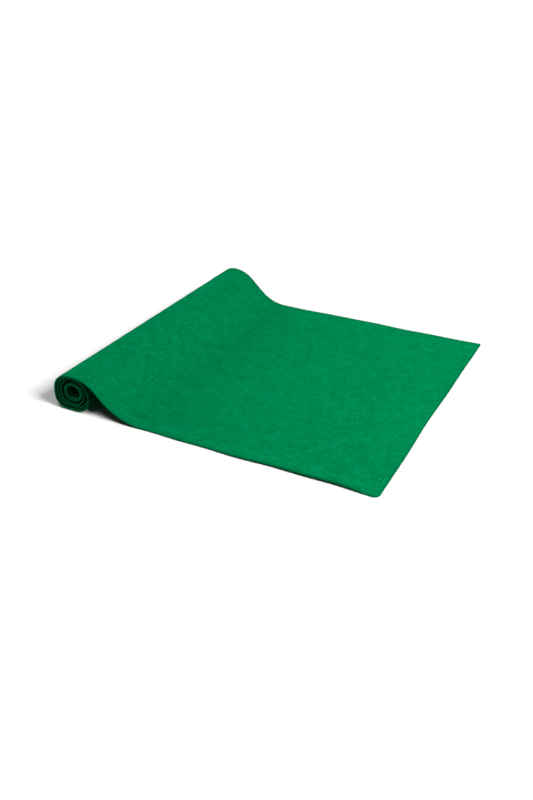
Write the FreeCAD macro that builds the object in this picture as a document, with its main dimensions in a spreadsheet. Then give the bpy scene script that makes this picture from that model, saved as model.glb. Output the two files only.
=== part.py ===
import FreeCAD, Part
import math
import os
import Sketcher

# Linen table runner, half rolled up.  X runs along the runner with the roll at -X and the
# free end at +X, Y runs across it, and Z = 0 is the table.  The runner is one length of
# cloth that starts at the free end, lies flat, climbs a riser, passes over the top of the
# roll and winds inward.  All sections are drawn on the XZ plane beside one path, which is
# the underside of the cloth, and are padded across the width.

os.makedirs("parts", exist_ok=True)
doc = FreeCAD.newDocument("table_runner")
Vector = FreeCAD.Vector

# ---------------------------------------------------------------- driving dimensions, mm

sheet = doc.addObject("Spreadsheet::Sheet", "Sizes")

DIMENSIONS = [
    # the cloth, laid out
    ("runner_width", 450),
    ("runner_length", 1200),
    ("cloth_thickness", 0.5),
    ("hem_width", 10),
    ("hem_thickness", "=3 * cloth_thickness"),
    ("panel_width", "=runner_width - 2 * hem_width"),
    ("front_corner_radius", 7),
    ("back_corner_radius", 1.5),
    ("fold_radius", 0.6),
    # the lie of the cloth from the free end to the top of the roll
    ("laid_run", 321),
    ("riser_slope", 46),
    ("valley_radius", 65),
    ("riser_run", 17.2),
    ("crest_radius", 56),
    # the roll: how far its outermost turn reaches from the crest, and the gap that each
    # side loses from one turn to the next (wound tight in front and on top, slack behind)
    ("reach_back", 29.3),
    ("reach_front", 26.8),
    ("back_gap", 3.7),
    ("floor_gap", 3.0),
    ("front_gap", 2.1),
    ("top_gap", 2.1),
    # where that puts the crest and the free end, with X = 0 in the middle of the whole
    ("bends_radius", "=valley_radius + crest_radius"),
    ("crest_height", "=bends_radius * (1 - cos(riser_slope)) + riser_run * sin(riser_slope)"),
    ("rise_reach", "=bends_radius * sin(riser_slope) + riser_run * cos(riser_slope)"),
    ("whole_reach", "=laid_run + rise_reach + reach_back + hem_thickness"),
    ("free_end", "=whole_reach / 2"),
    ("crest_place", "=free_end - laid_run - rise_reach"),
    # sewing
    ("stitch_inset", 1.5),
    ("thread_width", 0.5),
    ("thread_height", 0.2),
    # care label under the cloth, folded in two
    ("label_across", 25),
    ("label_along", 30),
    ("label_thickness", 0.4),
    ("label_offset", -18),
]

for row, (name, value) in enumerate(DIMENSIONS, start=1):
    sheet.set("A%d" % row, name)
    sheet.set("B%d" % row, str(value))
    sheet.setAlias("B%d" % row, name)
doc.recompute()


def size(name):
    """The value of a driving dimension, as a plain number."""
    return float(sheet.get(name))


# ------------------------------------------------------------- the path of the underside


class Span:
    """One straight or round stretch of the path; headings are in radians, turn is signed."""

    def __init__(self, x, z, heading, length, turn=0.0):
        self.x = x
        self.z = z
        self.heading = heading
        self.length = length
        self.turn = turn

    def point(self, along, outward=0.0):
        """The point a length along the span, moved outward (to the right of travel)."""
        heading = self.heading + self.turn * along / self.length
        if self.turn:
            radius = self.length / self.turn
            x = self.x + radius * (math.sin(heading) - math.sin(self.heading))
            z = self.z - radius * (math.cos(heading) - math.cos(self.heading))
        else:
            x = self.x + along * math.cos(heading)
            z = self.z + along * math.sin(heading)
        return Vector(x + outward * math.sin(heading), 0, z - outward * math.cos(heading))

    def cut(self, start, end):
        """The stretch of this span between two lengths along it."""
        corner = self.point(start)
        heading = self.heading + self.turn * start / self.length
        turn = self.turn * (end - start) / self.length
        return Span(corner.x, corner.z, heading, end - start, turn)


class Path:
    """A chain of tangent spans, grown from its end."""

    def __init__(self, x, z, heading):
        self.x = x
        self.z = z
        self.heading = heading
        self.spans = []

    def grow(self, length, turn=0.0):
        span = Span(self.x, self.z, self.heading, length, turn)
        tip = span.point(length)
        self.spans.append(span)
        self.x = tip.x
        self.z = tip.z
        self.heading += turn

    def straight(self, length):
        if length > 1e-6:
            self.grow(length)

    def bend(self, radius, turn):
        self.grow(radius * abs(turn), turn)

    def length(self):
        return sum(span.length for span in self.spans)

    def between(self, start, end):
        """The spans between two lengths along the path."""
        found = []
        station = 0.0
        for span in self.spans:
            first = max(start - station, 0.0)
            last = min(end - station, span.length)
            if last - first > 1e-6:
                found.append(span.cut(first, last))
            station += span.length
        return found


def roll_sides():
    """The sides that the roll touches in turn, as (axis, position): back, floor, front, top."""
    back = size("crest_place") - size("reach_back")
    floor = size("hem_thickness") + size("thread_height")
    front = size("crest_place") + size("reach_front")
    top = size("crest_height")
    while True:
        yield "x", back
        yield "z", floor
        yield "x", front
        top -= size("top_gap")
        yield "z", top
        back += size("back_gap")
        floor += size("floor_gap")
        front -= size("front_gap")


def wind_quarter(path, side, after):
    """A quarter turn from where the path is to the middle of the next side."""
    axis, position = side
    if axis == "x":
        across = abs(position - path.x)
        down = abs((path.z + after) / 2 - path.z)
    else:
        across = abs(position - path.z)
        down = abs((path.x + after) / 2 - path.x)
    radius = min(across, down)
    path.straight(across - radius)
    path.bend(radius, math.pi / 2)
    path.straight(down - radius)


slope = math.radians(size("riser_slope"))

path = Path(size("free_end"), 0.0, math.pi)
path.straight(size("laid_run"))
path.bend(size("valley_radius"), -slope)
path.straight(size("riser_run"))
path.bend(size("crest_radius"), slope)

sides = roll_sides()
side = next(sides)
while path.length() < size("runner_length"):
    following = next(sides)
    wind_quarter(path, side, following[1])
    side = following


# ----------------------------------------------------------------------- shared features


def origin_plane(body, role):
    """One of a body's own origin planes."""
    return [plane for plane in body.Origin.OriginFeatures if plane.Role == role][0]


def new_sketch(body, name, role):
    sketch = body.newObject("Sketcher::SketchObject", name)
    sketch.AttachmentSupport = [(origin_plane(body, role), "")]
    sketch.MapMode = "FlatFace"
    return sketch


def flat(point):
    """A point of the XZ plane in the coordinates of a sketch on that plane."""
    return Vector(point.x, point.z, 0)


def edge_beside(span, outward):
    """The straight or round edge that runs beside a span."""
    first = flat(span.point(0, outward))
    last = flat(span.point(span.length, outward))
    if not span.turn:
        return Part.LineSegment(first, last)
    middle = flat(span.point(span.length / 2, outward))
    return Part.Arc(first, middle, last)


def strip_sketch(body, name, start, end, low, high):
    """The section of a strip that follows the path: two offset edges and two square ends."""
    sketch = new_sketch(body, name, "XZ_Plane")
    spans = path.between(start, end)
    edges = [edge_beside(span, low) for span in spans]
    edges += [edge_beside(span, high) for span in spans]
    for span, along in ((spans[0], 0), (spans[-1], spans[-1].length)):
        inner = flat(span.point(along, low))
        outer = flat(span.point(along, high))
        edges.append(Part.LineSegment(inner, outer))
    sketch.addGeometry(edges, False)
    for number in range(len(edges)):
        sketch.addConstraint(Sketcher.Constraint("Block", number))
    return sketch


def strip_body(label, start, end, low, high, width):
    """A strip of cloth or thread along the path; width names its size across the runner."""
    body = doc.addObject("PartDesign::Body", "Body_" + label)
    body.Label = label
    pad = body.newObject("PartDesign::Pad", "Strip_" + label)
    pad.Profile = strip_sketch(body, "Section_" + label, start, end, low, high)
    pad.setExpression("Length", width)
    pad.SideType = "Symmetric"
    doc.recompute()
    return body


def rectangle_sketch(body, name, middle, along, across):
    """A rectangle on the XY plane, held by its size and by the place of its middle."""
    sketch = new_sketch(body, name, "XY_Plane")
    corners = [Vector(x, y, 0) for x, y in ((-1, -1), (1, -1), (1, 1), (-1, 1))]
    for number in range(4):
        edge = Part.LineSegment(corners[number], corners[(number + 1) % 4])
        sketch.addGeometry(edge, False)
    for number in range(4):
        joint = Sketcher.Constraint("Coincident", number, 2, (number + 1) % 4, 1)
        sketch.addConstraint(joint)
    sketch.addConstraint(Sketcher.Constraint("Horizontal", 0))
    sketch.addConstraint(Sketcher.Constraint("Horizontal", 2))
    sketch.addConstraint(Sketcher.Constraint("Vertical", 1))
    sketch.addConstraint(Sketcher.Constraint("Vertical", 3))
    drivers = [
        (Sketcher.Constraint("DistanceX", 0, 1, 0, 2, 2.0), along),
        (Sketcher.Constraint("DistanceY", 1, 1, 1, 2, 2.0), across),
        (Sketcher.Constraint("DistanceX", -1, 1, 2, 1, 1.0), "%s + (%s) / 2" % (middle[0], along)),
        (Sketcher.Constraint("DistanceY", -1, 1, 2, 1, 1.0), "%s + (%s) / 2" % (middle[1], across)),
    ]
    for constraint, expression in drivers:
        number = sketch.addConstraint(constraint)
        sketch.setExpression("Constraints[%d]" % number, expression)
    return sketch


def edges_where(shape, wanted):
    """The names of a shape's edges that pass a test."""
    return ["Edge%d" % number for number, edge in enumerate(shape.Edges, start=1) if wanted(edge)]


def round_edges(body, name, wanted, radius):
    """A fillet on the chosen edges of the body's tip."""
    base = body.Tip
    fillet = body.newObject("PartDesign::Fillet", name)
    fillet.Base = (base, edges_where(base.Shape, wanted))
    fillet.setExpression("Radius", radius)
    body.Tip = fillet
    doc.recompute()


# ------------------------------------------------------------------------- the sub-parts

hem_inner = size("hem_width")
hem_outer = size("runner_length") - hem_inner
hem_top = size("hem_thickness")
label_middle = ("Sizes.free_end - Sizes.hem_width - Sizes.label_along / 2", "Sizes.label_offset")


def make_panel():
    """The single ply between the hems, with the bulge where it rides over the label."""
    cloth = size("cloth_thickness")
    body = strip_body("linen_panel", hem_inner, hem_outer, 0, cloth, "Sizes.panel_width")
    bulge = body.newObject("PartDesign::Pad", "LabelBulge")
    bulge.Profile = rectangle_sketch(
        body, "BulgeOutline", label_middle,
        "Sizes.label_along", "Sizes.label_across + 2 * Sizes.cloth_thickness",
    )
    bulge.setExpression("Length", "Sizes.cloth_thickness + Sizes.label_thickness")
    doc.recompute()
    whole = body.Shape.Volume
    hollow = body.newObject("PartDesign::Pocket", "LabelHollow")
    hollow.Profile = rectangle_sketch(
        body, "HollowOutline", label_middle, "Sizes.label_along", "Sizes.label_across",
    )
    hollow.setExpression("Length", "Sizes.label_thickness")
    hollow.Reversed = True
    body.Tip = hollow
    doc.recompute()
    removed = whole - body.Shape.Volume
    expected = size("label_along") * size("label_across") * size("label_thickness")
    assert abs(removed - expected) < 0.01 * expected, "the label hollow is not cut"


def make_long_hem(label, side):
    """A hem along one long edge, three plies thick, its outer fold rounded."""
    body = strip_body(label, hem_inner, hem_outer, 0, hem_top, "Sizes.hem_width")
    outer = side * size("hem_width") / 2

    def on_fold(edge):
        beside = all(abs(vertex.Y - outer) < 1e-3 for vertex in edge.Vertexes)
        return beside and abs(edge.Length - hem_top) > 1e-3

    round_edges(body, "Fold_" + label, on_fold, "Sizes.fold_radius")
    place = "%d * (Sizes.runner_width - Sizes.hem_width) / 2" % side
    body.setExpression(".Placement.Base.y", place)


def make_free_end_hem():
    """The hem across the free end, with its bulky front corner and crisp back corner."""
    body = strip_body("free_end_hem", 0, hem_inner, 0, hem_top, "Sizes.runner_width")
    half_width = size("runner_width") / 2

    def corner(side):
        tip = Vector(size("free_end"), side * half_width, hem_top / 2)
        return lambda edge: edge.CenterOfMass.distanceToPoint(tip) < 1e-3

    round_edges(body, "FrontCorner", corner(-1), "Sizes.front_corner_radius")
    round_edges(body, "BackCorner", corner(1), "Sizes.back_corner_radius")


def make_inner_end_hem():
    """The hem across the inner end, at the heart of the roll."""
    strip_body(
        "inner_end_hem", hem_outer, size("runner_length"), 0, hem_top, "Sizes.runner_width",
    )


def make_long_stitching(label, side):
    """The row of lockstitch that holds a long hem, lying on the face of the cloth."""
    top = hem_top + size("thread_height")
    body = strip_body(label, hem_inner, hem_outer, hem_top, top, "Sizes.thread_width")
    place = "%d * (Sizes.runner_width / 2 - Sizes.hem_width + Sizes.stitch_inset)" % side
    body.setExpression(".Placement.Base.y", place)


def make_end_stitching(label, start):
    """The row of lockstitch that holds an end hem."""
    top = hem_top + size("thread_height")
    end = start + size("thread_width")
    strip_body(label, start, end, hem_top, top, "Sizes.panel_width")


def make_label():
    """The blank care label, caught in the free end hem and lying under the cloth."""
    body = doc.addObject("PartDesign::Body", "Body_care_label")
    body.Label = "care_label"
    pad = body.newObject("PartDesign::Pad", "LabelPlies")
    pad.Profile = rectangle_sketch(
        body, "LabelOutline", label_middle, "Sizes.label_along", "Sizes.label_across",
    )
    pad.setExpression("Length", "Sizes.label_thickness")


make_panel()
make_long_hem("front_hem", -1)
make_long_hem("back_hem", 1)
make_free_end_hem()
make_inner_end_hem()
make_long_stitching("front_hem_stitching", -1)
make_long_stitching("back_hem_stitching", 1)
make_end_stitching("free_end_stitching", hem_inner - size("stitch_inset"))
make_end_stitching("inner_end_stitching", hem_outer + size("stitch_inset"))
make_label()
doc.recompute()

# -------------------------------------------------------------------- checks and export

for item in doc.Objects:
    assert not {"Invalid", "Error"} & set(item.State), item.Label + " failed"

bodies = [item for item in doc.Objects if item.TypeId == "PartDesign::Body"]
for body in bodies:
    assert not body.Shape.isNull() and body.Shape.isValid(), body.Label + " is not valid"
    assert len(body.Shape.Solids) == 1, body.Label + " is not one solid"

for body in bodies:
    body.Shape.exportStep("parts/%s.step" % body.Label)
    print("%-22s %9.1f mm3  %s" % (body.Label, body.Shape.Volume, body.Shape.BoundBox))

turns = sum(span.turn for span in path.between(0, size("runner_length"))) / (2 * math.pi)
print("wound turns %.2f, path %.1f mm" % (turns, path.length()))
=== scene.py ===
import math

import bmesh
import bpy
import numpy as np
from mathutils import Matrix, Vector


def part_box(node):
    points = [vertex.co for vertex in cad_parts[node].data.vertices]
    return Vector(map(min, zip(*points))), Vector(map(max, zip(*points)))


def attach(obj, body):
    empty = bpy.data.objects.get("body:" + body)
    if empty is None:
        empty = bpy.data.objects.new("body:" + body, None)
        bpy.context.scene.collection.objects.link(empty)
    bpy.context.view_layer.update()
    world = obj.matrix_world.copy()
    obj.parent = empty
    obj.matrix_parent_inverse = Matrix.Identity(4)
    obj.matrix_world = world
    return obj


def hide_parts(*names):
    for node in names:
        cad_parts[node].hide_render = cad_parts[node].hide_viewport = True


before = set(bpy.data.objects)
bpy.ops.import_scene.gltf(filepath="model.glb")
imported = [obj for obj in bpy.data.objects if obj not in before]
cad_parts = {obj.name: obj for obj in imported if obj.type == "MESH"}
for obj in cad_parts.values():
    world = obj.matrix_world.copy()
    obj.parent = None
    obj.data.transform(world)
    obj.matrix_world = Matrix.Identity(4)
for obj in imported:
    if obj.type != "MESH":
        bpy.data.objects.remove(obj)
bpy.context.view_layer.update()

# The looks of a half-rolled linen table runner.  The cloth is worked out in millimetres, in
# two cloth coordinates: s runs along it from the free end, v across it from the middle.
# Its path has a laid part, a riser and a roll as the CAD model's has.  It differs a little
# from one long edge to the other, and the roll's heart is looser and shorter than the CAD
# model's.  The cloth and its stitching follow that path, and the label lies under it.

MM = 0.001
RNG_SEED = 7

# ------------------------------------------------------------------ sizes, in millimetres


def cad_box(node):
    """A CAD node's lowest and highest corners, in millimetres."""
    low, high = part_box(node)
    return np.array(low) / MM, np.array(high) / MM


FREE_END = cad_box("free_end_hem")[1][0]
HALF_WIDTH = cad_box("free_end_hem")[1][1]
HEM_WIDTH = cad_box("front_hem")[1][1] - cad_box("front_hem")[0][1]
STITCH_INSET = HALF_WIDTH - np.mean([corner[1] for corner in cad_box("back_hem_stitching")])
LABEL_LOW, LABEL_HIGH = cad_box("care_label")
CLOTH_LENGTH = 1102.0
PLY = 0.5

# the lie of the cloth beside the front long edge and beside the back one
FRONT_LIE = dict(laid=308.0, slope=47.0, valley=100.0, crest=50.0, back=30.8, front=22.3)
BACK_LIE = dict(laid=333.0, slope=43.0, valley=62.0, crest=46.0, back=24.3, front=28.0)
CREST_HEIGHT = 49.3
ROLL_FLOOR = 1.8

# the gaps from turn to turn on the four sides of the roll, from the outer turn inwards
BACK_GAPS = (1.7, 4.6, 4.9, 7.5, 2.0, 1.8, 1.7, 1.7)
FLOOR_GAPS = (1.8, 4.3, 3.2, 7.2, 2.6, 2.0, 1.7, 1.7)
FRONT_GAPS = (1.8, 1.9, 4.9, 2.0, 1.8, 1.7, 1.7, 1.7)
TOP_GAPS = (2.0, 1.9, 1.9, 3.6, 1.9, 1.7, 1.7, 1.7)
# how round the roll's corners are, onto its back, floor, front and top sides
ROUNDNESS = (1.0, 0.68, 0.85, 1.0)

PATH_STEP = 1.0
PATH_COLUMNS = 19
# no span of the path is shorter than this
SHORTEST_SPAN = 1e-6


# --------------------------------------------------------------- the path along one column


def roll_sides(crest, lie):
    """The sides that the roll touches, as (axis, place): back, floor, front, top and so on."""
    sides = []
    for turn in range(len(BACK_GAPS)):
        sides.append(("x", crest - lie["back"] + sum(BACK_GAPS[:turn])))
        sides.append(("z", ROLL_FLOOR + sum(FLOOR_GAPS[:turn])))
        sides.append(("x", crest + lie["front"] - sum(FRONT_GAPS[:turn])))
        sides.append(("z", CREST_HEIGHT - sum(TOP_GAPS[:turn + 1])))
    return sides


class Path:
    """A chain of straight and round spans, each with its start, heading, length and turn."""

    def __init__(self):
        self.x, self.z, self.heading = 0.0, 0.0, math.pi
        self.spans = []

    def grow(self, length, turn=0.0):
        if length < SHORTEST_SPAN:
            return
        self.spans.append((self.x, self.z, self.heading, length, turn))
        self.x, self.z, self.heading = self.point(self.spans[-1], length)

    def bend(self, radius, turn):
        self.grow(radius * abs(turn), turn)

    @staticmethod
    def point(span, along):
        x, z, start, length, turn = span
        heading = start + turn * along / length
        if turn:
            radius = length / turn
            x = x + radius * (np.sin(heading) - math.sin(start))
            z = z - radius * (np.cos(heading) - math.cos(start))
        else:
            x = x + along * math.cos(start)
            z = z + along * math.sin(start)
        return x, z, heading

    def sample(self, stations):
        """Place and heading at each station, as rows of x, z and heading."""
        found = np.zeros((3, len(stations)))
        begun = 0.0
        for span in self.spans:
            inside = stations >= begun
            found[:, inside] = self.point(span, stations[inside] - begun)
            begun += span[3]
        return found


def column_path(share):
    """The path at a share of the width, from 0 at the front edge to 1 at the back."""
    lie = {key: FRONT_LIE[key] + share * (BACK_LIE[key] - FRONT_LIE[key]) for key in FRONT_LIE}
    slope = math.radians(lie["slope"])
    bends = (lie["valley"] + lie["crest"]) * (1 - math.cos(slope))
    path = Path()
    path.grow(lie["laid"])
    path.bend(lie["valley"], -slope)
    path.grow((CREST_HEIGHT - bends) / math.sin(slope))
    path.bend(lie["crest"], slope)
    sides = roll_sides(path.x, lie)
    for number, ((axis, place), (_, after)) in enumerate(zip(sides, sides[1:])):
        here, other = (path.x, path.z) if axis == "x" else (path.z, path.x)
        reach = abs(place - here)
        rest = abs((other + after) / 2 - other)
        radius = min(reach, rest) * ROUNDNESS[number % 4]
        path.grow(reach - radius)
        path.bend(radius, math.pi / 2)
        path.grow(rest - radius)
    return path


STATIONS = np.arange(0.0, CLOTH_LENGTH + PATH_STEP, PATH_STEP)
COLUMNS = np.linspace(-HALF_WIDTH, HALF_WIDTH, PATH_COLUMNS)
PATHS = np.array(
    [column_path((v + HALF_WIDTH) / (2 * HALF_WIDTH)).sample(STATIONS) for v in COLUMNS]
)
# keeps a place inside the last cell of the drawn paths
JUST_INSIDE = 1.001


def on_path(s, v):
    """x, z and heading of the underside path at cloth places, between the drawn columns."""
    row = np.clip(s / PATH_STEP, 0, len(STATIONS) - JUST_INSIDE)
    column = np.clip((v + HALF_WIDTH) / (2 * HALF_WIDTH), 0, 1) * (PATH_COLUMNS - 1)
    column = np.minimum(column, PATH_COLUMNS - JUST_INSIDE)
    i, j = row.astype(int), column.astype(int)
    di, dj = row - i, column - j
    near = PATHS[j, :, i].T * (1 - di) + PATHS[j, :, i + 1].T * di
    far = PATHS[j + 1, :, i].T * (1 - di) + PATHS[j + 1, :, i + 1].T * di
    return near * (1 - dj) + far * dj


# ------------------------------------------------ relief of the limp cloth, in millimetres

# A span is the pair of places between which something fades in or out.

# the cloth lies on the table up to the first station and is off it from the second on
LAID_SPAN = (300, 390)

# the hem's full height in the roll, where it lies loose, and along the puffed front edge
ROLL_HEM = 1.25
LOOSE_HEM = 1.4
PUFFED_HEM = 3.2
# the puffed edge: none at the first distance from the edge and full at the second, where it
# begins along the cloth, and how much it eases further along
PUFF_NONE = 24
PUFF_FULL = 12
PUFF_START = (1, 14)
PUFF_EASE = 0.3
PUFF_EASE_SPAN = (60, 260)

# how high the front edge has curled off the table, over what width, and where along it
CURL = 2.5
CURL_WIDTH = 42.0
CURL_START = (4, 40)
CURL_EASE = 0.75
CURL_EASE_SPAN = (80, 300)

# how far in from the edge the hem's top is rounded off, and the share of its height lost
HEM_SHOULDER = 7.5
SHOULDER_LOSS = 0.5
# how far from the edge the cloth has sunk from the hem to the table, and where it begins to
HEM_FOOT = 17.0
HEM_TOP_END = HEM_WIDTH - 1.5
# the dent along the stitching: its reach, its depth in the roll, the depth that is added on
# the table, and how much of that is gone further along
SEAM_REACH = 1.3
SEAM_DEPTH = 0.06
SEAM_LAID_DEPTH = 0.24
SEAM_EASE = 0.18
SEAM_EASE_SPAN = (40, 160)

# the waves of the cloth: average height, swing, and the share that is left in the roll
SWELL_HEIGHT = 0.45
SWELL_SWING = 0.4
RIPPLE_HEIGHT = 0.16
RIPPLE_SWING = 0.16
RIPPLE_IN_ROLL = 0.35
PUCKER_SWING = 0.15
PUCKER_REACH = 7.0
PUCKER_IN_ROLL = 0.3
# the waves fade in over these distances from an edge
INSIDE_SPAN = (6, 40)

# soft folds pressed into the laid part: start (s, v), end (s, v), half width and height
CREASES = [
    ((262, 150), (180, 92), 3.5, 0.5),
    ((232, 172), (150, 150), 5.0, 0.45),
    ((212, 190), (120, 196), 6.0, 0.35),
    ((150, 60), (60, 96), 5.0, 0.3),
    ((300, -60), (190, -96), 7.0, 0.35),
    ((120, -150), (36, -96), 5.0, 0.3),
    ((90, 150), (20, 120), 4.5, 0.35),
]
CREASE_BOW = 3.0
CREASE_FADE = (-12, 18)
# the pinch in the free end's hem, beside the care label
PINCH = dict(s=4.0, v=-18.0, along=4.5, across=2.6, depth=1.6)
# how softly the cloth rides up on the care label, and how far its bulge goes on in the hem
LABEL_FADE = (-5, 1)
BULGE_IN_HEM = 8

# how far the turns between the outer ones and the inner loop have slipped back at the roll's
# front end, the stations over which the slip comes and goes, and the heading at which it is
# greatest, with the span of cosines around it
SLIP = 10.0
SLIP_START = (630, 690)
SLIP_END = (935, 975)
SLIP_HEADING = math.pi * 3 / 4
SLIP_SPAN = (-0.3, 0.9)

# how the edges wander off straight, as waves of (swing, reach, lead): the long edges on the
# table, the long edges in the roll, and the free end
LONG_EDGE_WAVES = ((0.7, 31.0, 1.4), (0.5, 13.7, 2.0))
ROLL_EDGE_WAVES = ((0.8, 57.0, 1.0),)
FREE_END_WAVES = ((0.7, 62.0, 0.5 + math.pi / 2), (-0.4, 27.0, 0.0))
# the long edges wander within this width, and the free end over this span of stations
WANDER_WIDTH = 70
FREE_END_SPAN = (0, 60)


def smooth(low, high, value):
    """0 below low, 1 above high and a smooth step between."""
    t = np.clip((value - low) / (high - low), 0, 1)
    return t * t * (3 - 2 * t)


def waves(seed, count, shortest, longest):
    """A fixed random field of gentle waves over the cloth, between about -1 and 1."""
    rng = np.random.default_rng(seed)
    length = rng.uniform(shortest, longest, count)
    angle = rng.uniform(0, math.pi, count)
    phase = rng.uniform(0, 2 * math.pi, count)

    def field(s, v):
        total = 0.0
        for k in range(count):
            along = s * math.cos(angle[k]) + v * math.sin(angle[k])
            total = total + np.sin(2 * math.pi * along / length[k] + phase[k])
        return total / math.sqrt(count)

    return field


swell = waves(RNG_SEED, 9, 90.0, 230.0)
ripple = waves(RNG_SEED + 1, 14, 24.0, 60.0)
pucker = waves(RNG_SEED + 2, 8, 13.0, 26.0)


def crease_relief(s, v):
    """Low ridges along the pressed folds, fading towards their ends."""
    total = np.zeros_like(s)
    for start, end, width, height in CREASES:
        start, end = np.array(start, float), np.array(end, float)
        run = end - start
        length = np.hypot(*run)
        run = run / length
        along = (s - start[0]) * run[0] + (v - start[1]) * run[1]
        aside = (s - start[0]) * run[1] - (v - start[1]) * run[0]
        bow = CREASE_BOW * np.sin(math.pi * along / length)
        fade = smooth(*CREASE_FADE, along) * smooth(*CREASE_FADE, length - along)
        total += height * fade * np.exp(-(((aside - bow) / width) ** 2))
    return total


def label_relief(s, v):
    """The soft bulge where the cloth rides over the care label."""
    x = FREE_END - s
    over = smooth(*LABEL_FADE, x - LABEL_LOW[0])
    over = over * smooth(*LABEL_FADE, LABEL_HIGH[0] + BULGE_IN_HEM - x)
    over = over * smooth(*LABEL_FADE, v - LABEL_LOW[1]) * smooth(*LABEL_FADE, LABEL_HIGH[1] - v)
    return over * LABEL_HIGH[2]


def pinch_relief(s, v):
    """The small hollow where the free end's hem is drawn in."""
    apart = ((s - PINCH["s"]) / PINCH["along"]) ** 2 + ((v - PINCH["v"]) / PINCH["across"]) ** 2
    return -PINCH["depth"] * np.exp(-apart)


def edge_gap(s, v):
    """Distance to the nearest edge of the cloth."""
    return np.minimum(np.minimum(s, CLOTH_LENGTH - s), HALF_WIDTH - np.abs(v))


def laid(s):
    """1 where the cloth lies on the table, 0 on the riser and in the roll."""
    return 1 - smooth(*LAID_SPAN, s)


def hem_height(s, v):
    """Full height of the hem: pressed in the roll, loose on the table, puffed in front."""
    along_front = smooth(HALF_WIDTH - PUFF_NONE, HALF_WIDTH - PUFF_FULL, -v)
    along_front = along_front * smooth(*PUFF_START, s)
    ease = 1 - PUFF_EASE * smooth(*PUFF_EASE_SPAN, s)
    loose = LOOSE_HEM + (PUFFED_HEM - LOOSE_HEM) * along_front * ease
    return ROLL_HEM + (loose - ROLL_HEM) * laid(s)


def curl(s, v):
    """Height that the front edge has curled off the table."""
    run = smooth(*CURL_START, s) * (1 - CURL_EASE * smooth(*CURL_EASE_SPAN, s))
    return CURL * run * smooth(HALF_WIDTH - CURL_WIDTH, HALF_WIDTH, -v) ** 2 * laid(s)


def seam_dent(s, gap):
    """Depth to which the stitching has drawn the hem in."""
    added = (SEAM_LAID_DEPTH - SEAM_EASE * smooth(*SEAM_EASE_SPAN, s)) * laid(s)
    return (SEAM_DEPTH + added) * np.exp(-(((gap - STITCH_INSET) / SEAM_REACH) ** 2))


def wave_relief(s, v, gap):
    """Height of the cloth's waves: on the table they are fuller than in the roll."""
    on_table = laid(s)
    inside = smooth(*INSIDE_SPAN, gap)
    height = (SWELL_HEIGHT + SWELL_SWING * swell(s, v)) * inside * on_table
    kept = RIPPLE_IN_ROLL + (1 - RIPPLE_IN_ROLL) * on_table
    height = height + (RIPPLE_HEIGHT + RIPPLE_SWING * ripple(s, v)) * inside * kept
    kept = PUCKER_IN_ROLL + (1 - PUCKER_IN_ROLL) * on_table
    near_hem = np.exp(-(((gap - HEM_WIDTH) / PUCKER_REACH) ** 2))
    height = height + PUCKER_SWING * pucker(s, v) * near_hem * kept
    return height + crease_relief(s, v) * inside * on_table


def top_height(s, v):
    """Height of the middle of the top ply above the path.  Off the table it is the same on
    the hem and beside it, because there the hem's lower plies bulge to the other side."""
    gap = edge_gap(s, v)
    on_table = laid(s)
    hem = hem_height(s, v) - PLY / 2
    shoulder = SHOULDER_LOSS * np.clip(1 - gap / HEM_SHOULDER, 0, 1) ** 2 * on_table
    sunk = smooth(HEM_TOP_END, HEM_FOOT, gap) * on_table
    height = hem * (1 - shoulder) * (1 - sunk) + PLY / 2 * sunk
    height = height - seam_dent(s, gap) + wave_relief(s, v, gap)
    return height + label_relief(s, v) * sunk + curl(s, v) + pinch_relief(s, v) * on_table


def slip(s, v, heading):
    """How far the turns between the outer ones and the inner loop have slipped back from the
    roll's front end.  They slip most above and in front, and not at all at the back end."""
    loose = smooth(*SLIP_SPAN, np.cos(heading - SLIP_HEADING))
    from_back = 0.5 - 0.5 * np.clip(v / HALF_WIDTH, -1, 1)
    return SLIP * from_back * loose * smooth(*SLIP_START, s) * (1 - smooth(*SLIP_END, s))


def wander(place, side, edge_waves):
    """How far an edge lies off straight at a place along it."""
    return sum(swing * np.sin(place / reach + lead * side) for swing, reach, lead in edge_waves)


def edge_drift(s, v):
    """How far the cloth lies off its straight edges: (towards the roll, towards the back)."""
    side = np.sign(v)
    on_table = laid(s)
    across = wander(s, side, LONG_EDGE_WAVES) * on_table
    across = across + wander(s, side, ROLL_EDGE_WAVES) * (1 - on_table)
    beside = smooth(HALF_WIDTH - WANDER_WIDTH, HALF_WIDTH, np.abs(v))
    along = wander(v, 1, FREE_END_WAVES)
    return along * (1 - smooth(*FREE_END_SPAN, s)), across * beside


def place(s, v, height):
    """Places in the frame, in millimetres, of cloth points at a height above the path."""
    along, across = edge_drift(s, v)
    x, z, heading = on_path(s + along, v)
    y = v + across + slip(s, v, heading)
    x = FREE_END + x + height * np.sin(heading) - np.minimum(s + along, 0)
    z = z - height * np.cos(heading)
    return np.stack([x, y, np.maximum(z, PLY / 2)], axis=-1)


# --------------------------------------------------------------------------- mesh helpers


def put_in_scene(name, data):
    """An object that shows the data, linked to the scene."""
    thing = bpy.data.objects.new(name, data)
    bpy.context.scene.collection.objects.link(thing)
    return thing


def new_piece(name, points, faces, material, uv):
    """A mesh object from points and a map in millimetres, riding on the frame's only body."""
    mesh = bpy.data.meshes.new(name)
    mesh.from_pydata((np.asarray(points) * MM).tolist(), [], faces)
    mesh.polygons.foreach_set("use_smooth", [True] * len(mesh.polygons))
    layer = mesh.uv_layers.new(name="cloth")
    corners = np.zeros(len(mesh.loops), np.int32)
    mesh.loops.foreach_get("vertex_index", corners)
    layer.data.foreach_set("uv", (np.asarray(uv, float) * MM)[corners].ravel())
    mesh.materials.append(material)
    mesh.update()
    piece = put_in_scene(name, mesh)
    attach(piece, "root")
    return piece


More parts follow.
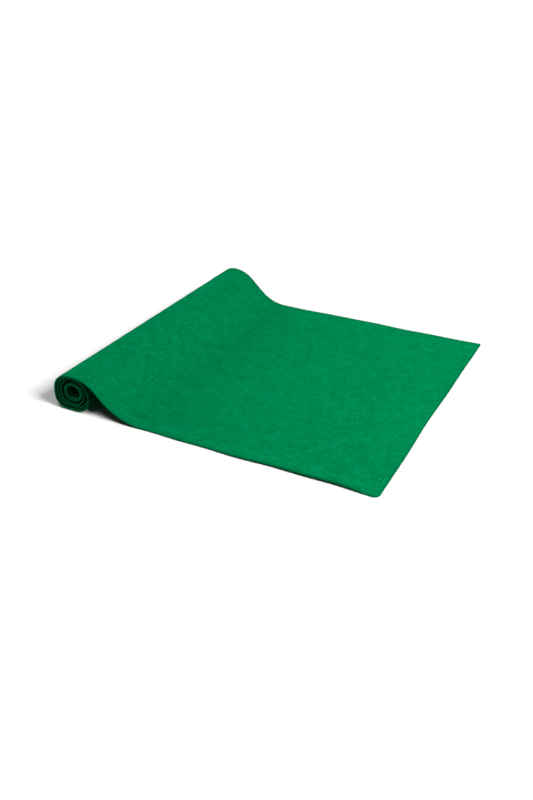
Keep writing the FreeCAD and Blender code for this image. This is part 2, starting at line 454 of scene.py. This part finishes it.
def thicken(piece, thickness):
    """Gives a sheet its thickness, half of it to each side."""
    ply = piece.modifiers.new("ply", "SOLIDIFY")
    ply.thickness = thickness * MM
    ply.offset = 0.0


def grid_faces(rows, columns):
    """Quads between the points of a grid stored row by row."""
    faces = []
    for i in range(rows - 1):
        for j in range(columns - 1):
            a = i * columns + j
            faces.append((a, a + columns, a + columns + 1, a + 1))
    return faces


# ------------------------------------------------------------------------------ materials


class Nodes:
    """Short calls for building a material's node tree."""

    def __init__(self, name):
        self.material = bpy.data.materials.new(name)
        self.material.use_nodes = True
        self.tree = self.material.node_tree
        self.shader = self.tree.nodes["Principled BSDF"]

    def add(self, kind, **settings):
        node = self.tree.nodes.new(kind)
        for key, value in settings.items():
            setattr(node, key, value)
        return node

    def feed(self, node, socket, value):
        if isinstance(value, bpy.types.NodeSocket):
            self.tree.links.new(value, node.inputs[socket])
        else:
            node.inputs[socket].default_value = value

    def surface(self, **looks):
        """Feeds the shader's own sockets, named with underscores for spaces."""
        for socket, value in looks.items():
            self.feed(self.shader, socket.replace("_", " "), value)

    def math(self, operation, first, second=0.0, third=0.0):
        node = self.add("ShaderNodeMath", operation=operation)
        for number, value in enumerate((first, second, third)):
            self.feed(node, number, value)
        return node.outputs[0]

    def add_part(self, value, share, onto):
        """A share of the value, added onto another."""
        return self.math("MULTIPLY_ADD", value, share, onto)

    def centred(self, value, swing):
        """A value from 0 to 1 spread by a swing, half of it to each side of 0."""
        return self.add_part(value, swing, -swing / 2)

    def sine(self, value):
        """The sine of a value, from 0 to 1."""
        return self.add_part(self.math("SINE", value), 0.5, 0.5)

    def mix_colour(self, kind, share, first, second):
        node = self.add("ShaderNodeMix", data_type="RGBA", blend_type=kind)
        self.feed(node, 0, share)
        self.feed(node, 6, first)
        self.feed(node, 7, second)
        return node.outputs[2]

    def mix_value(self, share, first, second):
        node = self.add("ShaderNodeMix", data_type="FLOAT")
        self.feed(node, 0, share)
        self.feed(node, 2, first)
        self.feed(node, 3, second)
        return node.outputs[0]

    def noise(self, place, scale=1.0, detail=2.0, roughness=0.5):
        node = self.add("ShaderNodeTexNoise")
        self.feed(node, "Vector", place)
        self.feed(node, "Scale", scale)
        self.feed(node, "Detail", detail)
        self.feed(node, "Roughness", roughness)
        return node.outputs[0]

    def vector(self, x, y, z=0.0):
        node = self.add("ShaderNodeCombineXYZ")
        for number, value in enumerate((x, y, z)):
            self.feed(node, number, value)
        return node.outputs[0]

    def steps(self, value, low, high, to_low=0.0, to_high=1.0):
        node = self.add("ShaderNodeMapRange", interpolation_type="SMOOTHSTEP")
        for number, item in enumerate((value, low, high, to_low, to_high)):
            self.feed(node, number, item)
        return node.outputs[0]

    def bump(self, height, strength, distance):
        node = self.add("ShaderNodeBump")
        self.feed(node, "Height", height)
        self.feed(node, "Strength", strength)
        self.feed(node, "Distance", distance * MM)
        self.tree.links.new(node.outputs[0], self.shader.inputs["Normal"])


LINEN_GREEN = (0.0, 0.222, 0.074, 1.0)
LINEN_LIGHT = (0.0, 0.325, 0.118, 1.0)
LINEN_DARK = (0.0, 0.135, 0.042, 1.0)
LINEN_SHEEN = (0.0, 0.6, 0.25, 1.0)
THREAD_GREEN = (0.0, 0.190, 0.064, 1.0)
TAPE_WHITE = (0.86, 0.855, 0.83, 1.0)
TAPE_STAINED = (0.74, 0.73, 0.69, 1.0)
TAPE_SELVEDGE = (0.62, 0.61, 0.57, 1.0)

# the linen's thread pitch, and how far its threads wander, in millimetres
THREAD_PITCH = 0.62
THREAD_WANDER = 2.4
# how flat a thread stays towards its sides: the lower, the flatter
THREAD_ROUNDING = 0.6
# an evenly dyed length of yarn, and its width in threads; slubs along the cloth and across
# it, and their width, in millimetres
YARN_LENGTH = 16.0
YARN_WIDTH = 1.3
WARP_SLUB = 24.0
WEFT_SLUB = 20.0
SLUB_WIDTH = 0.85
# how much of the tone comes from the yarns, the fine grain and the broad mottle
YARN_SWING = 1.5
GRAIN_SWING = 1.8
MOTTLE_SWING = 0.5
# what slubs add to the tone and to the height, as (noise at none, noise at full, amount)
SLUB_TONES = ((0.62, 0.74, 0.9), (0.38, 0.22, -0.3))
SLUB_RELIEF = ((0.5, 0.8, 0.5),)
# the tone at which the cloth is fully light, or below zero fully dark
FULL_TONE = 0.5
# the weave's height below which a groove's painted shade shows, and the share of light that this
# painted shade leaves at its bottom
GROOVE_TOP = 0.45
GROOVE_SHADE = 0.72
FUZZ_HEIGHT = 0.35
LINEN_BUMP = dict(strength=0.55, distance=0.16)

# how the sewing thread's strands are twisted, per millimetre along it and per radian round
TWIST_ALONG = 6.0
TWIST_ROUND = 0.9
THREAD_TONES = (0.2, 0.8)
THREAD_BUMP = dict(strength=0.5, distance=0.05)

# the tape's thread pitch, its middle line, and its selvedge's distance from it
TAPE_PITCH = 0.28
TAPE_MIDDLE = -18.0
TAPE_SELVEDGE_SPAN = (10.6, 11.4)
TAPE_BUMP = dict(strength=0.6, distance=0.06)


def cloth_place(nodes):
    """The cloth coordinates along and across, in millimetres, from the mesh's own map."""
    source = nodes.add("ShaderNodeUVMap", uv_map="cloth")
    split = nodes.add("ShaderNodeSeparateXYZ")
    nodes.tree.links.new(source.outputs[0], split.inputs[0])
    along = nodes.math("MULTIPLY", split.outputs[0], 1 / MM)
    across = nodes.math("MULTIPLY", split.outputs[1], 1 / MM)
    return along, across


def woven(nodes, along, across, pitch):
    """Height of a plain weave, from 0 between the threads to 1 on their crowns, which set
    of threads is on top, and the place along and across counted in threads."""
    a = nodes.math("DIVIDE", along, pitch)
    b = nodes.math("DIVIDE", across, pitch)

    def thread(lengthwise, sideways, lead):
        own = nodes.math("FLOOR", sideways)
        phase = nodes.math("ADD", nodes.math("ADD", lengthwise, own), lead)
        crown = nodes.sine(nodes.math("MULTIPLY", phase, math.pi))
        round_off = nodes.math("SINE", nodes.math("MULTIPLY", sideways, math.pi))
        round_off = nodes.math("POWER", nodes.math("ABSOLUTE", round_off), THREAD_ROUNDING)
        return nodes.math("MULTIPLY", crown, round_off)

    warp = thread(a, b, 0.0)
    weft = thread(b, a, 1.0)
    return nodes.math("MAXIMUM", warp, weft), nodes.math("GREATER_THAN", warp, weft), a, b


def slubs(nodes, lengthwise, sideways, length, width, seed):
    """Streaks of thicker, unevenly dyed yarn that run along one set of threads."""
    lengthwise = nodes.math("DIVIDE", lengthwise, length)
    sideways = nodes.math("DIVIDE", sideways, width)
    return nodes.noise(nodes.vector(lengthwise, sideways, seed), 1.0, 0.6, 0.4)


def add_slubs(nodes, slub_pair, bands, onto):
    """Adds what each band of the slubs' noise gives to a tone or a height."""
    for none, full, amount in bands:
        for slub in slub_pair:
            onto = nodes.add_part(nodes.steps(slub, none, full), amount, onto)
    return onto


def linen_colour(nodes, tone, weave):
    """The dyed cloth's colour from its tone, with painted shade darkening the grooves between
    threads.
    """
    light = nodes.steps(tone, 0.0, FULL_TONE)
    dark = nodes.steps(tone, 0.0, -FULL_TONE)
    colour = nodes.mix_colour("MIX", light, LINEN_GREEN, LINEN_LIGHT)
    colour = nodes.mix_colour("MIX", dark, colour, LINEN_DARK)
    # painted shade: the colour is darkened where the weave is low, between the threads
    groove = nodes.steps(weave, 0.0, GROOVE_TOP, GROOVE_SHADE, 1.0)
    return nodes.mix_colour("MULTIPLY", 1.0, colour, nodes.vector(groove, groove, groove))


def linen_material():
    """Piece-dyed plain-weave linen: slubby yarns both ways, a soft mottle and no shine."""
    nodes = Nodes("emerald_linen")
    along, across = cloth_place(nodes)
    wander_noise = nodes.noise(nodes.vector(along, across, 4.0), 0.11, 2.0)
    bent = nodes.centred(wander_noise, THREAD_WANDER)
    bent_along = nodes.math("ADD", along, bent)
    bent_across = nodes.math("ADD", across, bent)
    weave, warp_on_top, a, b = woven(nodes, bent_along, bent_across, THREAD_PITCH)

    own_warp = nodes.math("FLOOR", b)
    own_weft = nodes.math("FLOOR", a)
    warp_yarn = slubs(nodes, bent_along, own_warp, YARN_LENGTH, YARN_WIDTH, 11.0)
    weft_yarn = slubs(nodes, bent_across, own_weft, YARN_LENGTH, YARN_WIDTH, 23.0)
    warp_slub = slubs(nodes, along, across, WARP_SLUB, SLUB_WIDTH, 31.0)
    weft_slub = slubs(nodes, across, along, WEFT_SLUB, SLUB_WIDTH, 47.0)
    mottle = nodes.noise(nodes.vector(along, across, 9.0), 0.055, 3.0, 0.6)
    grain = nodes.noise(nodes.vector(along, across, 15.0), 1.3, 1.0)
    fuzz = nodes.noise(nodes.vector(along, across, 2.0), 5.0, 3.0, 0.7)

    yarn = nodes.mix_value(warp_on_top, weft_yarn, warp_yarn)
    tone = nodes.centred(yarn, YARN_SWING)
    tone = nodes.math("ADD", tone, nodes.centred(grain, GRAIN_SWING))
    tone = add_slubs(nodes, (warp_slub, weft_slub), SLUB_TONES, tone)
    tone = nodes.add_part(mottle, MOTTLE_SWING, nodes.math("ADD", tone, -MOTTLE_SWING / 2))

    height = add_slubs(nodes, (warp_slub, weft_slub), SLUB_RELIEF, weave)
    nodes.bump(nodes.add_part(fuzz, FUZZ_HEIGHT, height), **LINEN_BUMP)
    nodes.surface(
        Base_Color=linen_colour(nodes, tone, weave),
        Roughness=nodes.steps(weave, 0.0, 1.0, 0.98, 0.86),
        Specular_IOR_Level=0.0, Sheen_Weight=0.06, Sheen_Roughness=0.5, Sheen_Tint=LINEN_SHEEN,
    )
    return nodes.material


def thread_material():
    """Spun sewing thread in the cloth's green, twisted from fine strands."""
    nodes = Nodes("sewing_thread")
    along, across = cloth_place(nodes)
    lean = nodes.add_part(across, TWIST_ROUND, nodes.math("MULTIPLY", along, TWIST_ALONG))
    twist = nodes.sine(lean)
    fluff = nodes.noise(nodes.vector(along, across), 2.0, 3.0, 0.6)
    # the colour follows the bump's height: painted shade darkens the low parts between the
    # strands and in the fluff
    tone = nodes.add_part(fluff, 0.5, nodes.math("MULTIPLY", twist, 0.5))
    tone = nodes.steps(tone, *THREAD_TONES)
    nodes.bump(nodes.math("ADD", twist, fluff), **THREAD_BUMP)
    nodes.surface(
        Base_Color=nodes.mix_colour("MIX", tone, LINEN_DARK, THREAD_GREEN),
        Roughness=nodes.steps(twist, 0.0, 1.0, 0.8, 0.6), Specular_IOR_Level=0.2,
    )
    return nodes.material


def label_material():
    """White woven tape with a fine rib and firmer selvedges, left blank."""
    nodes = Nodes("label_tape")
    along, across = cloth_place(nodes)
    weave, _, _, _ = woven(nodes, along, across, TAPE_PITCH)
    stain = nodes.noise(nodes.vector(along, across), 0.25, 3.0, 0.6)
    colour = nodes.mix_colour("MIX", stain, TAPE_STAINED, TAPE_WHITE)
    from_middle = nodes.math("ABSOLUTE", nodes.math("SUBTRACT", across, TAPE_MIDDLE))
    selvedge = nodes.steps(from_middle, *TAPE_SELVEDGE_SPAN)
    half_selvedge = nodes.math("MULTIPLY", selvedge, 0.5)
    nodes.bump(nodes.math("ADD", weave, selvedge), **TAPE_BUMP)
    nodes.surface(
        Base_Color=nodes.mix_colour("MIX", half_selvedge, colour, TAPE_SELVEDGE),
        Roughness=nodes.steps(weave, 0.0, 1.0, 0.75, 0.5), Specular_IOR_Level=0.35,
    )
    return nodes.material


LINEN = linen_material()
THREAD = thread_material()
TAPE = label_material()


# ------------------------------------------------------------------------------- the cloth

# the ring of the outer fold lies this far in from the edge
FOLD_INSET = 1.2
# distances from an edge at which the cloth has a row of points, finer on the hem
EDGE_STEPS = [FOLD_INSET, 2.2, 3.8, 5.6, 7.2, 8.5, 9.8, 11.4, 13.2, 15.5]
# the pitch of the rows further in: across the laid part and the riser, which end at these
# stations, across the roll, and along the cloth
LAID_PITCH = 5.0
LAID_ROWS_END = 300.0
RISER_PITCH = 3.6
RISER_ROWS_END = 450.0
ROLL_PITCH = 3.0
COLUMN_PITCH = 6.0

# how round the corners are, as (at the inner end or not, side, radius)
FREE_CORNERS = ((False, -1, 8.0), (False, 1, 2.5))
INNER_CORNERS = ((True, -1, 4.0), (True, 1, 4.0))
# beyond this distance from a corner the hem's rings are not slanted by the mitre
MITRE_REACH = 30.0

# the hem's section, as (distance from the edge, share of its height): angles round the outer
# fold, the lowest ply, the inner fold and the ply between
OUTER_FOLD_TURNS = (25, 50, 75, 100, 125, 150, 180)
LOWEST_PLY = [(3.6, 0.0), (6.4, 0.0), (9.0, 0.0)]
INNER_FOLD = [(HEM_WIDTH - 0.3, 0.08), (HEM_WIDTH, 0.25), (HEM_WIDTH - 0.3, 0.42)]
MIDDLE_PLY = [(8.6, 0.46), (4.0, 0.46)]
# how far the lowest ply's face is kept off the path
PLY_CLEARANCE = 0.05


def spread(start, end, pitch):
    """Evenly spaced places between two ends, both left out."""
    count = max(int(round((end - start) / pitch)), 1)
    return list(np.linspace(start, end, count + 1)[1:-1])


def cloth_lines():
    """The stations and the columns of the cloth's grid."""
    last = EDGE_STEPS[-1]
    far = [CLOTH_LENGTH - gap for gap in reversed(EDGE_STEPS)]
    stations = EDGE_STEPS + spread(last, LAID_ROWS_END, LAID_PITCH) + [LAID_ROWS_END]
    stations += spread(LAID_ROWS_END, RISER_ROWS_END, RISER_PITCH) + [RISER_ROWS_END]
    stations += spread(RISER_ROWS_END, far[0], ROLL_PITCH) + far
    middle = HALF_WIDTH - last
    columns = [gap - HALF_WIDTH for gap in EDGE_STEPS] + spread(-middle, middle, COLUMN_PITCH)
    columns += [HALF_WIDTH - gap for gap in reversed(EDGE_STEPS)]
    return np.array(stations), np.array(columns)


def round_corner(s, v):
    """Draws the cloth's square corners in to round ones."""
    s, v = s.copy(), v.copy()
    for at_inner_end, side, radius in FREE_CORNERS + INNER_CORNERS:
        gap_s = CLOTH_LENGTH - s if at_inner_end else s
        gap_v = HALF_WIDTH - side * v
        near = (gap_s < radius) & (gap_v < radius)
        p = 1 - gap_s[near] / radius
        q = 1 - gap_v[near] / radius
        new_s = radius * (1 - p * np.sqrt(1 - q * q / 2))
        new_v = radius * (1 - q * np.sqrt(1 - p * p / 2))
        s[near] = CLOTH_LENGTH - new_s if at_inner_end else new_s
        v[near] = side * (HALF_WIDTH - new_v)
    return s, v


def rim(stations, columns):
    """The grid's boundary, once round, as cloth places and point numbers."""
    rows, width = len(stations), len(columns)
    order = [(i, 0) for i in range(rows)]
    order += [(rows - 1, j) for j in range(1, width)]
    order += [(i, width - 1) for i in range(rows - 2, -1, -1)]
    order += [(0, j) for j in range(width - 2, 0, -1)]
    s = np.array([stations[i] for i, _ in order])
    v = np.array([columns[j] for _, j in order])
    return s, v, [i * width + j for i, j in order]


def drawn_in(value, line, inset):
    """Moves places along an edge so that a ring further in still ends at the mitre."""
    low, high = line[0], line[-1]
    from_low = np.clip(1 - (value - low) / MITRE_REACH, 0, 1)
    from_high = np.clip(1 - (high - value) / MITRE_REACH, 0, 1)
    moved = value + inset * (from_low - from_high)
    return np.clip(moved, low + inset, high - inset)


def outward(value, line):
    """-1 and 1 at the two ends of a line of places, and 0 between them."""
    return np.where(value == line[0], -1, np.where(value == line[-1], 1, 0))


def hem_profile():
    """The hem's section: over the outer fold, back under the top ply, over the inner fold
    and in again between the plies."""
    outer = [
        (FOLD_INSET * (1 - math.sin(turn)), 0.5 + 0.5 * math.cos(turn))
        for turn in np.radians(OUTER_FOLD_TURNS)
    ]
    return outer + LOWEST_PLY + INNER_FOLD + MIDDLE_PLY


def ring_points(ring_s, ring_v, share):
    """Points of the hem at a share of its height."""
    top = top_height(ring_s, ring_v)
    low = PLY / 2 + PLY_CLEARANCE + curl(ring_s, ring_v)
    return place(ring_s, ring_v, low + (top - low) * share)


def hem_rings(stations, columns, first):
    """The plies folded under, as rings of points that are numbered from first on, with their
    maps and the faces that join them to the top ply and to each other."""
    rim_s, rim_v, ring = rim(stations, columns)
    size = len(ring)
    points, maps, faces = [], [], []
    travelled = 0.0
    last = (FOLD_INSET, 1.0)
    for gap, share in hem_profile():
        inset = gap - FOLD_INSET
        ring_s, ring_v = round_corner(
            drawn_in(rim_s, stations, inset), drawn_in(rim_v, columns, inset)
        )
        points.append(ring_points(ring_s, ring_v, share))
        travelled += math.hypot(gap - last[0], (share - last[1]) * LOOSE_HEM)
        last = (gap, share)
        map_s = rim_s + travelled * outward(rim_s, stations)
        map_v = rim_v + travelled * outward(rim_v, columns)
        maps.append(np.stack([map_s, map_v], axis=-1))
        new_ring = list(range(first, first + size))
        for k in range(size):
            after = (k + 1) % size
            faces.append((ring[k], ring[after], new_ring[after], new_ring[k]))
        ring = new_ring
        first += size
    return points, maps, faces


def make_cloth():
    """The whole cloth: one ply, folded under twice all round with mitred corners."""
    stations, columns = cloth_lines()
    s, v = [a.ravel() for a in np.meshgrid(stations, columns, indexing="ij")]
    s_top, v_top = round_corner(s, v)
    top_points = place(s_top, v_top, top_height(s_top, v_top))
    hem_points, hem_maps, hem_faces = hem_rings(stations, columns, len(s))
    cloth = new_piece(
        "linen_cloth", np.concatenate([top_points] + hem_points),
        grid_faces(len(stations), len(columns)) + hem_faces, LINEN,
        np.concatenate([np.stack([s, v], axis=-1)] + hem_maps),
    )
    thicken(cloth, PLY)
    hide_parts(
        "linen_panel", "front_hem", "back_hem", "free_end_hem", "inner_end_hem",
    )
    return cloth


# --------------------------------------------------------------------------- the stitching

STITCH_PITCH = 3.2
STITCH_LENGTH = 2.6
STITCH_RADIUS = 0.19
STITCH_RINGS = 6
STITCH_SIDES = 6
# how far a stitch may lean, in millimetres, and start late or early, as a share of its length
STITCH_LEAN = 0.12
STITCH_JITTER = 0.02
# a stitch's middle line rises by the first of these and begins below the cloth by the
# second, in radii; both are then pressed flat by the third
STITCH_RISE = 2.6
STITCH_DIP = 1.6
STITCH_PRESSED = 0.6
# a stitch's thickness at its ends, as a share of that at its middle
STITCH_TIP = 0.55
# height above the path at which the stitches under the hem lie
UNDER_FACE = 0.12


def stitch_points(start, face, path_of, heading_side, rng):
    """One stitch's points, ring by ring, and their map: face is 1 above the hem, -1 below."""
    across_s, across_v = heading_side
    lean = rng.uniform(-STITCH_LEAN, STITCH_LEAN)
    t = np.linspace(0, 1, STITCH_RINGS)
    along = start + STITCH_LENGTH * (t + STITCH_JITTER * rng.uniform(-1, 1))
    s, v = path_of(along)
    swing = lean * (t - 0.5)
    s, v = s + across_s * swing, v + across_v * swing
    arch = np.sqrt(4 * t * (1 - t))
    rise = STITCH_RADIUS * (STITCH_RISE * arch - STITCH_DIP) * STITCH_PRESSED
    girth = STITCH_RADIUS * (STITCH_TIP + (1 - STITCH_TIP) * arch)
    surface = top_height(s, v) + PLY / 2 if face > 0 else curl(s, v) + UNDER_FACE
    rings, ring_maps = [], []
    for side in range(STITCH_SIDES):
        turn = 2 * math.pi * side / STITCH_SIDES
        aside = girth * math.cos(turn)
        height = surface + face * (rise + girth * math.sin(turn))
        rings.append(place(s + across_s * aside, v + across_v * aside, height))
        ring_maps.append(np.stack([along, along * 0 + turn], axis=-1))
    return np.stack(rings, axis=1).reshape(-1, 3), np.stack(ring_maps, axis=1).reshape(-1, 2)


def stitch_faces(first):
    """The sides and the two ends of a stitch whose points are numbered from first on."""
    faces = []
    for ring in range(STITCH_RINGS - 1):
        for side in range(STITCH_SIDES):
            a = first + ring * STITCH_SIDES + side
            b = first + ring * STITCH_SIDES + (side + 1) % STITCH_SIDES
            faces.append((a, b, b + STITCH_SIDES, a + STITCH_SIDES))
    last = first + (STITCH_RINGS - 1) * STITCH_SIDES
    faces.append(tuple(range(first + STITCH_SIDES - 1, first - 1, -1)))
    faces.append(tuple(range(last, last + STITCH_SIDES)))
    return faces


def stitch_row(name, node, path_of, length, heading_side):
    """Lockstitches along a hem, above and below it.  path_of gives the cloth place at a
    length along the row, and heading_side the cloth direction across the row."""
    starts = np.arange(STITCH_PITCH / 2, length - STITCH_PITCH, STITCH_PITCH)
    rng = np.random.default_rng(RNG_SEED + 3)
    points, faces, maps = [], [], []
    for face in (1, -1):
        for start in starts:
            faces += stitch_faces(len(points) * STITCH_RINGS * STITCH_SIDES)
            stitch, stitch_map = stitch_points(start, face, path_of, heading_side, rng)
            points.append(stitch)
            maps.append(stitch_map)
    row = new_piece(
        name, np.concatenate(points), faces, THREAD, np.concatenate(maps),
    )
    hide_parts(node)
    return row


def long_row(side):
    """Places along a long hem's stitching."""
    def path_of(along):
        return along + STITCH_INSET, np.full_like(along, side * (HALF_WIDTH - STITCH_INSET))
    return path_of


def end_row(station):
    """Places along an end hem's stitching."""
    def path_of(along):
        return np.full_like(along, station), along - HALF_WIDTH + STITCH_INSET
    return path_of


def make_stitching():
    """The four rows of stitches."""
    long_length = CLOTH_LENGTH - 2 * STITCH_INSET
    end_length = 2 * (HALF_WIDTH - STITCH_INSET)
    free_end = end_row(STITCH_INSET)
    inner_end = end_row(CLOTH_LENGTH - STITCH_INSET)
    rows = (
        ("front_hem_stitches", "front_hem_stitching", long_row(-1), long_length, (0, 1)),
        ("back_hem_stitches", "back_hem_stitching", long_row(1), long_length, (0, 1)),
        ("free_end_stitches", "free_end_stitching", free_end, end_length, (1, 0)),
        ("inner_end_stitches", "inner_end_stitching", inner_end, end_length, (1, 0)),
    )
    return [stitch_row(*row) for row in rows]


# --------------------------------------------------------------------------- the care label

TAPE_PLY = 0.14
# how far the tape goes on into the hem, how far its faces and edges stay inside the CAD
# model's, the angles round its fold, and its points along a ply and across
TAPE_IN_HEM = 4
TAPE_FACE_GAP = 0.01
TAPE_EDGE_GAP = 0.2
TAPE_FOLD_TURNS = (30, 60, 90, 120, 150)
TAPE_ROWS = 14
TAPE_COLUMNS = 11


def make_label():
    """The blank care label: a tape folded in two, its fold towards the roll."""
    low, high = LABEL_LOW, LABEL_HIGH
    bend = (high[2] - TAPE_PLY) / 2 - TAPE_FACE_GAP
    middle = high[2] / 2
    hem_end, fold_start = high[0] + TAPE_IN_HEM, low[0] + bend
    lower = [(x, middle - bend) for x in np.linspace(hem_end, fold_start, TAPE_ROWS)]
    fold = [
        (fold_start - bend * math.sin(turn), middle - bend * math.cos(turn))
        for turn in np.radians(TAPE_FOLD_TURNS)
    ]
    upper = [(x, middle + bend) for x in np.linspace(fold_start, hem_end, TAPE_ROWS)]
    section = lower + fold + upper
    ys = np.linspace(low[1] + TAPE_EDGE_GAP, high[1] - TAPE_EDGE_GAP, TAPE_COLUMNS)
    points = [(x, y, z) for x, z in section for y in ys]
    travelled = np.concatenate([[0], np.cumsum(np.hypot(*np.diff(np.array(section), axis=0).T))])
    label = new_piece(
        "care_label_tape", points, grid_faces(len(section), len(ys)), TAPE,
        [(length, y) for length in travelled for y in ys],
    )
    thicken(label, TAPE_PLY)
    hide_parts("care_label")
    return label


# ----------------------------------------------------------------------- the stage, in metres

TABLE_REACH = 6.0
TABLE_WHITE = (0.87, 0.87, 0.867, 1.0)
BACKDROP_RADIUS = 9.0
BACKDROP_FINENESS = 3
WHITE = (1.0, 1.0, 1.0, 1.0)
BLACK = (0.0, 0.0, 0.0, 1.0)
ROOM_STRENGTH = 0.035

# each lamp's kind, place or direction, strength, and softness: a sun's in degrees, an area's
# as its size
CLOTH_LAMPS = {
    "lamp_behind_roll": ("SUN", (-0.78, 0.4, 0.47), 2.85, 50),
    "lamp_past_free_end": ("AREA", (2.36, 0.2, 1.45), 81.5, 1.2),
    "lamp_in_front": ("SUN", (0.0, -1.0, 0.03), 1.35, 4),
}
TABLE_LAMPS = {
    "lamp_aside_of_table": ("SUN", (0.78, -0.13, 0.61), 4.1, 22),
    "lamp_over_table": ("SUN", (0.0, -0.2, 1.0), 1.06, 25),
    "lamp_behind_table": ("AREA", (-0.62, 0.5, 0.4), 0.9, 0.3),
}

# the camera's place, with x from the free end, and its angles in degrees
CAMERA_PLACE = (0.2264, -0.9494, 0.5409)
CAMERA_TURN = 26.78
CAMERA_DOWN = 29.10
CAMERA_ROLL = 0.35
# in millimetres
LENS = 37.24
SENSOR = 36.0


def make_floor():
    """A plain pale table top that runs out of the picture."""
    mesh = bpy.data.meshes.new("table_top")
    reach = TABLE_REACH
    corners = [(-reach, -reach, 0), (reach, -reach, 0), (reach, reach, 0), (-reach, reach, 0)]
    mesh.from_pydata(corners, [], [(0, 1, 2, 3)])
    nodes = Nodes("pale_table")
    nodes.surface(Base_Color=TABLE_WHITE, Roughness=0.9, Specular_IOR_Level=0.0)
    mesh.materials.append(nodes.material)
    floor = put_in_scene("table_top", mesh)
    # no light comes back off the table, as with black cards set round the runner
    floor.visible_diffuse = False
    return floor


def make_backdrop():
    """A white dome beyond the table, which is seen but neither lights nor shades."""
    form = bmesh.new()
    bmesh.ops.create_icosphere(form, subdivisions=BACKDROP_FINENESS, radius=BACKDROP_RADIUS)
    mesh = bpy.data.meshes.new("white_backdrop")
    form.to_mesh(mesh)
    form.free()
    nodes = Nodes("white_backdrop")
    nodes.surface(
        Base_Color=BLACK, Specular_IOR_Level=0.0, Emission_Color=WHITE, Emission_Strength=1.0,
    )
    nodes.material.cycles.emission_sampling = "NONE"
    mesh.materials.append(nodes.material)
    backdrop = put_in_scene("white_backdrop", mesh)
    backdrop.visible_diffuse = False
    backdrop.visible_glossy = False
    backdrop.visible_transmission = False
    backdrop.visible_shadow = False


def make_lamps(lamps, lit):
    """Soft lamps that point at the middle of the frame and light one collection only."""
    for name, (kind, toward, strength, softness) in lamps.items():
        lamp = bpy.data.lights.new(name, kind)
        lamp.energy = strength
        if kind == "SUN":
            lamp.angle = math.radians(softness)
        else:
            lamp.size = softness
        holder = put_in_scene(name, lamp)
        holder.location = toward
        holder.rotation_euler = Vector(toward).to_track_quat("Z", "Y").to_euler()
        holder.light_linking.receiver_collection = lit


def group(name, *members):
    """A collection for the lamps' use, of things that are in the scene already."""
    chosen = bpy.data.collections.new(name)
    for member in members:
        chosen.objects.link(member)
    return chosen


def make_light(runner, floor):
    """A dim pale room and soft lamps at both ends of the runner.  The lamps on the cloth and
    those on the table are set apart: the near lamp leaves the cloth darker towards the roll,
    and the table stays evenly white but for the shadow beside the roll."""
    world = bpy.data.worlds.new("pale_room")
    world.use_nodes = True
    background = world.node_tree.nodes["Background"]
    background.inputs["Color"].default_value = WHITE
    background.inputs["Strength"].default_value = ROOM_STRENGTH
    bpy.context.scene.world = world
    make_lamps(CLOTH_LAMPS, group("lit_cloth", *runner))
    make_lamps(TABLE_LAMPS, group("lit_table", floor))


def make_camera():
    """The view along the runner from its front right, looking down."""
    lens = bpy.data.cameras.new("view")
    lens.lens = LENS
    lens.sensor_width = SENSOR
    camera = put_in_scene("view", lens)
    x, y, z = CAMERA_PLACE
    stand = Matrix.Translation((FREE_END * MM + x, y, z))
    turn = Matrix.Rotation(math.radians(CAMERA_TURN), 4, "Z")
    tilt = Matrix.Rotation(math.radians(90 - CAMERA_DOWN), 4, "X")
    level = Matrix.Rotation(math.radians(CAMERA_ROLL), 4, "Z")
    camera.matrix_world = stand @ turn @ tilt @ level
    bpy.context.scene.camera = camera


cloth = make_cloth()
rows = make_stitching()
label = make_label()
floor = make_floor()
make_backdrop()
make_light([cloth, label] + rows, floor)
make_camera()
bpy.context.scene.view_settings.view_transform = "Standard"
